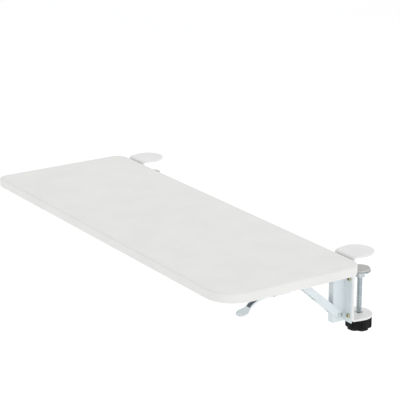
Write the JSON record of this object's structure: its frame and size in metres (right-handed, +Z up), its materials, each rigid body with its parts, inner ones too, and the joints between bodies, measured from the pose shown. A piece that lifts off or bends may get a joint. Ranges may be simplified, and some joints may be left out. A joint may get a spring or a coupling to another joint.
{
  "type": "clamp-on keyboard tray",
  "caption": "Fold-down keyboard tray that clamps under a desk's front edge: flat board on folding brackets with screw clamps, braces and release levers",
  "frame": {"origin": "on the top front edge of the desk, midway between the two clamps; the board's top is level with it", "axes": "+X is the user's right along the board, +Y points in under the desk, +Z is up"},
  "size_m": [0.67, 0.2905, 0.1237],
  "materials": {
    "white_laminate": "satin white laminate with a bright rounded edge",
    "white_coat": "white powder coat on folded sheet steel",
    "dark_steel": "blackened steel",
    "yellow_zinc": "yellow-passivated zinc plate",
    "zinc": "bright zinc plate",
    "black_plastic": "moulded, slightly glossy",
    "rubber": "matt",
    "nylon": "natural nylon",
    "spring_wire": "drawn spring wire"
  },
  "bodies": {
    "frame": {"left_clamp_frame": "white_coat", "left_leg": "white_coat", "left_jaw_bush": "zinc", "left_leg_screw_upper_left": "yellow_zinc", "left_leg_screw_upper_right": "yellow_zinc", "left_leg_screw_lower_left": "yellow_zinc", "left_leg_screw_lower_right": "yellow_zinc", "left_hinge_pin": "zinc", "left_hinge_spacer_left": "nylon", "left_hinge_spacer_right": "nylon", "left_brace_rivet": "zinc", "right_clamp_frame": "white_coat", "right_leg": "white_coat", "right_jaw_bush": "zinc", "right_leg_screw_upper_left": "yellow_zinc", "right_leg_screw_upper_right": "yellow_zinc", "right_leg_screw_lower_left": "yellow_zinc", "right_leg_screw_lower_right": "yellow_zinc", "right_hinge_pin": "zinc", "right_hinge_spacer_left": "nylon", "right_hinge_spacer_right": "nylon", "right_brace_rivet": "zinc"},
    "tray": {"tray_board": "white_laminate", "left_arm": "white_coat", "left_arm_screw_1": "dark_steel", "left_arm_screw_2": "dark_steel", "left_arm_screw_3": "dark_steel", "left_arm_screw_4": "dark_steel", "left_lever_pin": "dark_steel", "left_lever_spring": "spring_wire", "right_arm": "white_coat", "right_arm_screw_1": "dark_steel", "right_arm_screw_2": "dark_steel", "right_arm_screw_3": "dark_steel", "right_arm_screw_4": "dark_steel", "right_lever_pin": "dark_steel", "right_lever_spring": "spring_wire"},
    "left_brace": {"left_brace": "white_coat", "left_glide_left": "nylon", "left_glide_right": "nylon"},
    "left_lever": {"left_lever": "white_coat"},
    "left_pad": {"left_pressure_disc": "zinc", "left_rubber_pad": "rubber"},
    "left_knob": {"left_spindle": "zinc", "left_knob": "black_plastic", "left_knob_cap": "black_plastic"},
    "right_brace": {"right_brace": "white_coat", "right_glide_left": "nylon", "right_glide_right": "nylon"},
    "right_lever": {"right_lever": "white_coat"},
    "right_pad": {"right_pressure_disc": "zinc", "right_rubber_pad": "rubber"},
    "right_knob": {"right_spindle": "zinc", "right_knob": "black_plastic", "right_knob_cap": "black_plastic"}
  },
  "joints": [
    {"name": "tray_fold", "type": "hinge", "parent": "frame", "child": "tray", "pos_m": [0, -0.0213, -0.026], "axis": [1, 0, 0], "range_deg": [0, 80]},
    {"name": "left_brace_turn", "type": "hinge", "parent": "frame", "child": "left_brace", "pos_m": [-0.288, -0.0135, -0.0889], "axis": [1, 0, 0], "range_deg": [0, 117.43]},
    {"name": "left_lever_pull", "type": "hinge", "parent": "tray", "child": "left_lever", "pos_m": [-0.288, -0.1343, -0.0298], "axis": [1, 0, 0], "range_deg": [0, 8], "stiffness_Nm_per_rad": 0.2, "springref_deg": -8.59, "deforming": ["left_lever_spring"]},
    {"name": "left_pad_slide", "type": "slide", "parent": "frame", "child": "left_pad", "axis": [0, 0, 1], "range_m": [-0.0461, 0.00051]},
    {"name": "left_knob_turn", "type": "hinge", "parent": "left_pad", "child": "left_knob", "pos_m": [-0.288, 0.027, -0.099], "axis": [0, 0, 1], "range_deg": [-13248, 144]},
    {"name": "right_brace_turn", "type": "hinge", "parent": "frame", "child": "right_brace", "pos_m": [0.288, -0.0135, -0.0889], "axis": [1, 0, 0], "range_deg": [0, 117.43]},
    {"name": "right_lever_pull", "type": "hinge", "parent": "tray", "child": "right_lever", "pos_m": [0.288, -0.1343, -0.0298], "axis": [1, 0, 0], "range_deg": [0, 8], "stiffness_Nm_per_rad": 0.2, "springref_deg": -8.59, "deforming": ["right_lever_spring"]},
    {"name": "right_pad_slide", "type": "slide", "parent": "frame", "child": "right_pad", "axis": [0, 0, 1], "range_m": [-0.0461, 0.00051]},
    {"name": "right_knob_turn", "type": "hinge", "parent": "right_pad", "child": "right_knob", "pos_m": [0.288, 0.027, -0.099], "axis": [0, 0, 1], "range_deg": [-13248, 144]}
  ],
  "couplings": [
    {"joint": "left_brace_turn", "follows": "tray_fold", "ratio": 1.4642},
    {"joint": "left_pad_slide", "follows": "left_knob_turn", "m_per_rad": 0.00019894},
    {"joint": "right_brace_turn", "follows": "tray_fold", "ratio": 1.4642},
    {"joint": "right_pad_slide", "follows": "right_knob_turn", "m_per_rad": 0.00019894}
  ]
}
